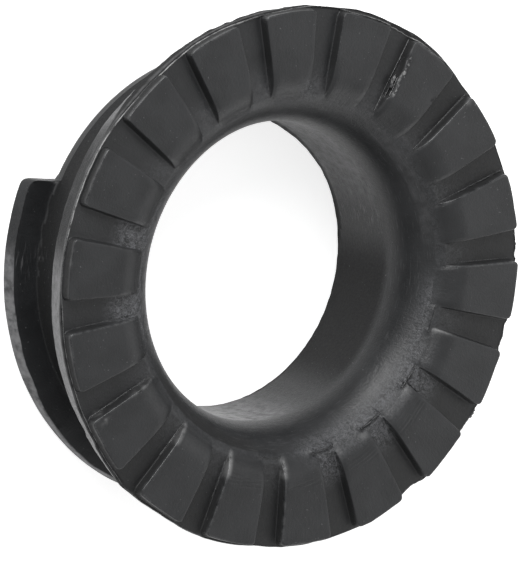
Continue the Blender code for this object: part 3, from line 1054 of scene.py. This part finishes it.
def make_fin(name, path, heights, crest, width, burr_and_painted_light):
    """A thin fin of flash: crest gives how it leans outward, round the ring and up from its path."""
    flat = path * (1.0, 1.0, 0.0)
    radial = flat / np.linalg.norm(flat, axis=1)[:, None]
    around = np.stack([-radial[:, 1], radial[:, 0], radial[:, 2]], axis=1)
    up = radial * crest[0] + around * crest[1] + np.array((0.0, 0.0, crest[2]))
    up = up / np.linalg.norm(up, axis=1)[:, None]
    along = np.gradient(path, axis=0)
    side = np.cross(along, up)
    side = side / np.linalg.norm(side, axis=1)[:, None]
    tall = np.clip(heights, 0.0, None)[:, None]
    width = np.broadcast_to(width, len(path))[:, None]
    base = path - up * FLASH_SINK
    top = path + up * tall
    lean = FLASH_LEAN * width
    rows = [base - side * width, top - side * lean, top + side * lean, base + side * width]
    count = len(path)
    points = np.stack(rows, axis=1).reshape(-1, 3)
    limit = FLANGE_RADIUS - FIN_CLEARANCE
    points = np.clip(points, (-limit, -limit, 0.0), (limit, limit, HEIGHT))
    faces = [(i * 4 + j, i * 4 + (j + 1) % 4, i * 4 + 4 + (j + 1) % 4, i * 4 + 4 + j)
             for i in range(count - 1) for j in range(4)]
    faces += [(0, 1, 2, 3), (count * 4 - 4, count * 4 - 3, count * 4 - 2, count * 4 - 1)]
    marks = dict(edge=np.full(count * 4, FLASH_EDGE), burr_and_painted_light=np.repeat(np.broadcast_to(burr_and_painted_light, count), 4))
    piece = new_piece(name, points, faces, marks)
    shell = bmesh.new()
    shell.from_mesh(piece.data)
    bmesh.ops.recalc_face_normals(shell, faces=shell.faces)
    shell.to_mesh(piece.data)
    shell.free()
    return piece


def make_foot_flash():
    """Fins along the feet of pads."""
    for index, (pad, side, start, end, height, bead) in enumerate(FOOT_FLASH):
        path = pad_side_path(pad, side, start, end, FOOT + 0.05, FLOOR_HEIGHT)
        taper = smooth(np.linspace(0.0, 1.0, len(path)), 0.0, 0.06)
        beads = 0.6 + 0.6 * noise(path, bead, 80 + index) + 0.25 * noise(path, 0.7, 90 + index)
        heights = height * taper * beads
        name = f"foot_flash_{index + 1}"
        yield make_fin(name, path, heights, crest=(0.0, -0.25 * side, 1.0), width=0.09, burr_and_painted_light=0.12)


def rim_flash_radius(degrees):
    """Where the rim's flash stands: at the edge, but further in where it was torn."""
    edge = FLANGE_RADIUS - RIM_FLASH_INSET + rim_offset(degrees) - 0.5 * between(degrees, -176.0, -126.0, 6.0)
    edge = edge - 0.5 * between(degrees, 86.0, 154.0, 10.0)
    torn = between(degrees, *CLIMBING_RIM)
    return edge * (1.0 - torn) + (PAD_OUTER_RADIUS + 0.3) * torn


def rim_flash_height(degrees):
    """Height of the foot of the rim's flash, which climbs the pads where it was torn."""
    on_pad = 1.0 - smooth(np.abs(pad_turn(degrees)), HALF_PAD_ANGLE - 0.5, HALF_PAD_ANGLE + 0.6)
    return FLOOR_HEIGHT + 2.1 * on_pad * between(degrees, *CLIMBING_RIM)


def make_rim_flash():
    """The fin that the mould's joint left round the flange's front edge."""
    path = arc_path(rim_flash_radius, rim_flash_height, -180.0, 180.0)
    degrees = np.degrees(np.arctan2(path[:, 1], path[:, 0]))
    torn = between(degrees, *TORN_RIM) * (1.0 + noise(path, 1.2, 101))
    clean = between(degrees, *CLEAN_RIM) * (0.8 + 0.3 * noise(path, 4.0, 102))
    beaded = between(degrees, *BEADED_RIM) * (0.7 + 0.7 * noise(path, 1.6, 103))
    ragged = between(degrees, -50.0, 14.0, 6.0) * (0.5 + noise(path, 1.0, 104))
    heights = 0.05 + 0.36 * torn + 0.42 * clean + 0.34 * beaded + 0.22 * ragged
    burr_and_painted_light = 0.10 + 0.50 * between(degrees, *TORN_RIM) + 0.28 * between(degrees, 84.0, 106.0, 4.0)
    burr_and_painted_light += 0.66 * between(degrees, 106.0, 176.0, 5.0) + 0.25 * between(degrees, *BEADED_RIM)
    width = 0.19 + 0.09 * between(degrees, 88.0, 156.0, 8.0)
    yield make_fin("rim_flash", path, heights, crest=(0.35, 0.0, 1.0), width=width, burr_and_painted_light=burr_and_painted_light)


def make_rim_teeth():
    """Small flaps and teeth of flash beyond the flange's edge."""
    def root(degrees):
        return FLANGE_RADIUS - TOOTH_INSET + rim_offset(degrees)

    for index, (start, end, reach, width) in enumerate(RIM_TEETH):
        path = arc_path(root, FLOOR_HEIGHT - TOOTH_INSET, start, end)
        shape = plateau(np.linspace(0.0, 1.0, len(path)), 0.0, 0.2, 0.8, 1.0)
        teeth = 0.55 + 0.5 * noise(path, width, 110 + index) + 0.2 * noise(path, 0.5, 120 + index)
        heights = reach * shape * teeth
        name = f"rim_tooth_{index + 1}"
        yield make_fin(name, path, heights, crest=(1.0, 0.0, 0.12), width=0.16, burr_and_painted_light=0.1)


def make_torn_flash():
    """Ragged shreds on the wall of the torn pad."""
    for index, (out, drop, reach, burr_and_painted_light, seed) in enumerate(TORN_SHREDS):
        path = pad_side_path(TORN_PAD_ANGLE, 1, TEAR_START, SHRED_END, out, HEIGHT - drop)
        shape = plateau(np.linspace(0.0, 1.0, len(path)), 0.0, 0.12, 0.85, 1.0)
        heights = reach * shape * (0.15 + 0.9 * noise(path, 1.7, seed) + 0.35 * noise(path, 0.6, seed + 1))
        name = f"torn_flash_{index + 1}"
        yield make_fin(name, path, heights, crest=(0.0, 0.9, 0.45), width=0.14, burr_and_painted_light=burr_and_painted_light)


def make_torn_lumps():
    """Pale lumps of torn rubber on the wall of the torn pad."""
    for index, (radius, angle, height, along, across, rise, paleness) in enumerate(TORN_LUMPS):
        shell = bmesh.new()
        bmesh.ops.create_icosphere(shell, subdivisions=3, radius=1.0)
        ball = np.array([vertex.co[:] for vertex in shell.verts])
        faces = [tuple(vertex.index for vertex in face.verts) for face in shell.faces]
        shell.free()
        ball = ball * (1.0 + 0.6 * noise(ball, 0.6, 211 + index))[:, None] * (along, across, rise)
        turn = math.radians(angle)
        rotation = np.array(Matrix.Rotation(-turn, 3, "Z"))
        points = ball @ rotation + (radius * math.cos(turn), radius * math.sin(turn), height)
        points[:, 2] = np.minimum(points[:, 2], HEIGHT)
        marks = dict(burr_and_painted_light=paleness * (0.6 + 0.4 * noise(points, 0.4, 221)))
        yield new_piece(f"torn_lump_{index + 1}", points, faces, marks)


def make_pad_line():
    """A second thin line beside one pad's edge, where the mould left a seam."""
    path = pad_side_path(PAD_LINE_PAD, 1, *PAD_LINE_REACH, -PAD_LINE_DEPTH, HEIGHT - 0.06)
    heights = 0.05 * (0.8 + 0.4 * noise(path, 1.0, 231))
    yield make_fin("pad_line", path, heights, crest=(0.0, 0.0, 1.0), width=0.28, burr_and_painted_light=0.45)


def make_flare_steps():
    """Ragged crests where the flare stands above the groove floors."""
    half = GROOVE_ANGLE / 2.0 - 0.4
    for index, (groove, height) in enumerate(FLARE_STEPS):
        crest = float(base_height(STEP_RADIUS)) + STEP_CREST * height
        path = arc_path(STEP_RADIUS, crest, groove - half - STEP_OVERRUN, groove + half)
        heights = height * (0.3 + 0.35 * noise(path, 0.9, 141 + index))
        name = f"flare_step_{index + 1}"
        yield make_fin(name, path, heights, crest=(0.25, 0.0, 1.0), width=0.16, burr_and_painted_light=0.0)


def add_node(tree, kind, inputs=(), **settings):
    """A new shader node. inputs gives pairs of socket and value, and a value may be another socket."""
    made = tree.nodes.new(kind)
    for name, value in settings.items():
        setattr(made, name, value)
    for socket, value in inputs:
        if isinstance(value, bpy.types.NodeSocket):
            tree.links.new(value, made.inputs[socket])
        else:
            made.inputs[socket].default_value = value
    return made


def calculate(tree, operation, first, second=0.0):
    return add_node(tree, "ShaderNodeMath", ((0, first), (1, second)), operation=operation).outputs[0]


def vector_math(tree, operation, *inputs):
    return add_node(tree, "ShaderNodeVectorMath", inputs, operation=operation).outputs


def mix_colour(tree, share, first, second):
    """first where share is 0 and second where it is 1."""
    values = [(*value, 1.0) if isinstance(value, tuple) else value for value in (first, second)]
    inputs = ((0, share), (6, values[0]), (7, values[1]))
    return add_node(tree, "ShaderNodeMix", inputs, data_type="RGBA").outputs[2]


def add_up(tree, total, terms):
    """total and each term's value times its weight."""
    for value, weight in terms:
        total = calculate(tree, "ADD", total, calculate(tree, "MULTIPLY", value, weight))
    return total


def rise(tree, value, low, high):
    """0 below low, 1 above high and smooth between them."""
    inputs = (("Value", value), ("From Min", low), ("From Max", high))
    return add_node(tree, "ShaderNodeMapRange", inputs, interpolation_type="SMOOTHSTEP").outputs[0]


def noise_map(tree, vector, scale, detail, roughness=0.5, distortion=0.0):
    inputs = (("Vector", vector), ("Scale", scale), ("Detail", detail), ("Roughness", roughness),
              ("Distortion", distortion))
    return add_node(tree, "ShaderNodeTexNoise", inputs).outputs[0]


def read_mark(tree, name):
    return add_node(tree, "ShaderNodeAttribute", attribute_name=name).outputs["Fac"]


def drawn_noise(tree, place, around, across, detail):
    """Noise drawn out round the ring, in lumps of around by across metres."""
    split = add_node(tree, "ShaderNodeSeparateXYZ", ((0, place),)).outputs
    flat = add_node(tree, "ShaderNodeCombineXYZ", ((0, split[0]), (1, split[1]))).outputs[0]
    distance = vector_math(tree, "LENGTH", (0, flat))["Value"]
    unit = vector_math(tree, "NORMALIZE", (0, flat))["Vector"]
    wide = vector_math(tree, "SCALE", (0, unit), ("Scale", FLANGE_RADIUS * METRE / around))["Vector"]
    along = calculate(tree, "ADD", distance, split[2])
    up = calculate(tree, "MULTIPLY", along, 1.0 / across)
    tall = add_node(tree, "ShaderNodeCombineXYZ", ((2, up),)).outputs[0]
    return noise_map(tree, vector_math(tree, "ADD", (0, wide), (1, tall))["Vector"], 1.0, detail)


def rubber_material():
    """Black moulded rubber: satin tops, rougher grooves with painted shade, painted light on lit places,
    mottled places, and edges paler with a painted highlight.
    """
    material = bpy.data.materials.new("black_rubber")
    material.use_nodes = True
    tree = material.node_tree
    shader = tree.nodes["Principled BSDF"]
    place = add_node(tree, "ShaderNodeTexCoord").outputs["Object"]
    marks = {name: read_mark(tree, name) for name in (*FINISH_AND_PAINTED_LIGHT_ARCS, "edge", "groove", "mottle")}
    patterns = {name: noise_map(tree, place, *values) for name, values in RUBBER_PATTERNS.items()}
    lines = drawn_noise(tree, place, *LINE_PATTERN)
    streaks = drawn_noise(tree, place, *STREAK_PATTERN)
    cloud = patterns["cloud"]
    crackle = patterns["crackle"]

    def times(first, second):
        return calculate(tree, "MULTIPLY", first, second)

    rough_patch = times(marks["mottle"], rise(tree, crackle, 0.38, 0.66))
    colour = mix_colour(tree, rise(tree, patterns["blotch"], 0.35, 0.65), DEEP_BLACK, WORN_BLACK)
    layers = (
        # Painted shade on the groove floors, in a deeper black
        (marks["groove"], 0.85, PAINTED_SHADE_BLACK),
        # Painted shade in the shaded places, which are also rougher
        (marks["painted_shade"], 0.9, PAINTED_SHADE_BLACK),
        (rough_patch, 1.0, PATCH_GREY),
        # Painted light where the rim, the lip, the bore and the flare are lit, then pale scratch lines
        (times(marks["painted_light"], rise(tree, cloud, 0.15, 0.75)), 0.9, SCRATCH_AND_PAINTED_LIGHT_GREY),
        (times(marks["scratch"], rise(tree, lines, 0.56, 0.74)), 0.6, SCRATCH_AND_PAINTED_LIGHT_GREY),
        # Painted highlight on the edges, then random pale specks
        (times(marks["edge"], rise(tree, cloud, 0.30, 0.65)), 0.28, EDGE_HIGHLIGHT_AND_SPECK_GREY),
        (rise(tree, patterns["specks"], 0.82, 0.88), 0.5, EDGE_HIGHLIGHT_AND_SPECK_GREY),
        # Pale flash and torn rubber, with painted light and highlights
        (times(marks["burr_and_painted_light"], rise(tree, cloud, 0.25, 0.6)), 1.0, BURR_AND_PAINTED_LIGHT_GREY),
    )
    for share, strength, grey in layers:
        colour = mix_colour(tree, times(share, strength), colour, grey)
    tree.links.new(colour, shader.inputs["Base Color"])

    grain = calculate(tree, "SUBTRACT", patterns["grain"], 0.5)
    roughness = add_up(tree, BASE_ROUGHNESS, (
        (patterns["blotch"], 0.10), (marks["matt"], 0.30), (marks["groove"], 0.08), (rough_patch, 0.12),
        (marks["edge"], -0.17), (marks["painted_shade"], 0.35), (grain, 0.35)))
    tree.links.new(roughness, shader.inputs["Roughness"])

    height = add_up(tree, 0.0, (
        (patterns["grain"], 0.60), (streaks, 0.25), (cloud, 0.45), (times(marks["mottle"], crackle), 1.6),
        (times(marks["scratch"], lines), 0.8), (times(marks["matt"], crackle), 1.2)))
    inputs = (("Strength", BUMP_STRENGTH), ("Distance", BUMP_DISTANCE), ("Height", height))
    tree.links.new(add_node(tree, "ShaderNodeBump", inputs).outputs[0], shader.inputs["Normal"])
    return material


def floor_material():
    """Pale floor that keeps the shadow; seen straight or in a gloss, it is lifted to white."""
    material = bpy.data.materials.new("pale_floor")
    material.use_nodes = True
    tree = material.node_tree
    shader = tree.nodes["Principled BSDF"]
    shader.inputs["Base Color"].default_value = (0.8, 0.8, 0.8, 1.0)
    shader.inputs["Roughness"].default_value = 1.0
    shader.inputs["Specular IOR Level"].default_value = 0.0
    path = add_node(tree, "ShaderNodeLightPath").outputs
    mirrored = calculate(tree, "MAXIMUM", path["Is Glossy Ray"], path["Is Transmission Ray"])
    seen = calculate(tree, "MULTIPLY", path["Is Camera Ray"], FLOOR_LIFT)
    lift = calculate(tree, "MAXIMUM", seen, calculate(tree, "MULTIPLY", mirrored, FLOOR_GLOSS_LIFT))
    shader.inputs["Emission Color"].default_value = (1.0, 1.0, 1.0, 1.0)
    tree.links.new(lift, shader.inputs["Emission Strength"])
    return material


def make_floor():
    mesh = bpy.data.meshes.new("floor")
    corners = [(-FLOOR_REACH, -FLOOR_REACH, -FLOOR_GAP), (FLOOR_REACH, -FLOOR_REACH, -FLOOR_GAP),
               (FLOOR_REACH, FLOOR_REACH, -FLOOR_GAP), (-FLOOR_REACH, FLOOR_REACH, -FLOOR_GAP)]
    mesh.from_pydata(corners, [], [(0, 1, 2, 3)])
    mesh.materials.append(floor_material())
    floor = put_in_scene("floor", mesh)


def make_softbox(name, direction, distance, size, power):
    """A square area lamp that faces the middle of the ring."""
    data = bpy.data.lights.new(name, "AREA")
    data.energy = power
    data.size = size
    lamp = put_in_scene(name, data)
    towards = Vector(direction).normalized()
    lamp.location = towards * distance
    lamp.rotation_mode = "QUATERNION"
    lamp.rotation_quaternion = towards.to_track_quat("Z", "Y")


def make_world():
    """A plain white room, brighter overhead than at the sides."""
    world = bpy.data.worlds.new("studio")
    bpy.context.scene.world = world
    world.use_nodes = True
    tree = world.node_tree
    back = tree.nodes["Background"]
    back.inputs["Color"].default_value = (1.0, 1.0, 1.0, 1.0)
    direction = add_node(tree, "ShaderNodeTexCoord").outputs["Generated"]
    up = add_node(tree, "ShaderNodeSeparateXYZ", ((0, direction),)).outputs[2]
    inputs = (("Value", up), ("To Min", SIDE_LIGHT), ("To Max", TOP_LIGHT))
    tree.links.new(add_node(tree, "ShaderNodeMapRange", inputs).outputs[0], back.inputs["Strength"])


def make_camera():
    """The photograph's camera, placed against the ring's padded face."""
    data = bpy.data.cameras.new("photo_camera")
    data.sensor_fit = "HORIZONTAL"
    data.sensor_width = SENSOR_WIDTH
    data.lens = FOCAL_LENGTH
    data.clip_start = CLIP_START
    data.clip_end = CLIP_END
    camera = put_in_scene("photo_camera", data)
    side = Matrix.Rotation(math.radians(VIEW_SIDE_ANGLE), 3, "Y")
    tilt = Matrix.Rotation(math.radians(VIEW_TILT_ANGLE), 3, "X")
    turn = Matrix.Rotation(math.radians(VIEW_TURN_ANGLE), 3, "Z")
    to_row = turn @ (side @ tilt).transposed()
    place = to_row @ (-Vector(VIEW_OFFSET)) + Vector((0.0, 0.0, HEIGHT))
    camera.matrix_world = Matrix.Translation(place * METRE) @ to_row.to_4x4()
    bpy.context.scene.camera = camera


def main():
    bpy.context.scene.view_settings.view_transform = "Standard"
    make_camera()
    make_world()
    for lamp in LAMPS:
        make_softbox(*lamp)
    make_floor()
    pieces = [make_ring()]
    for make in (make_rim_flash, make_rim_teeth, make_foot_flash, make_torn_flash, make_torn_lumps,
                 make_pad_line, make_flare_steps):
        pieces += make()
    rubber = rubber_material()
    for piece in pieces:
        piece.data.materials.append(rubber)


main()
bpy.context.view_layer.update()
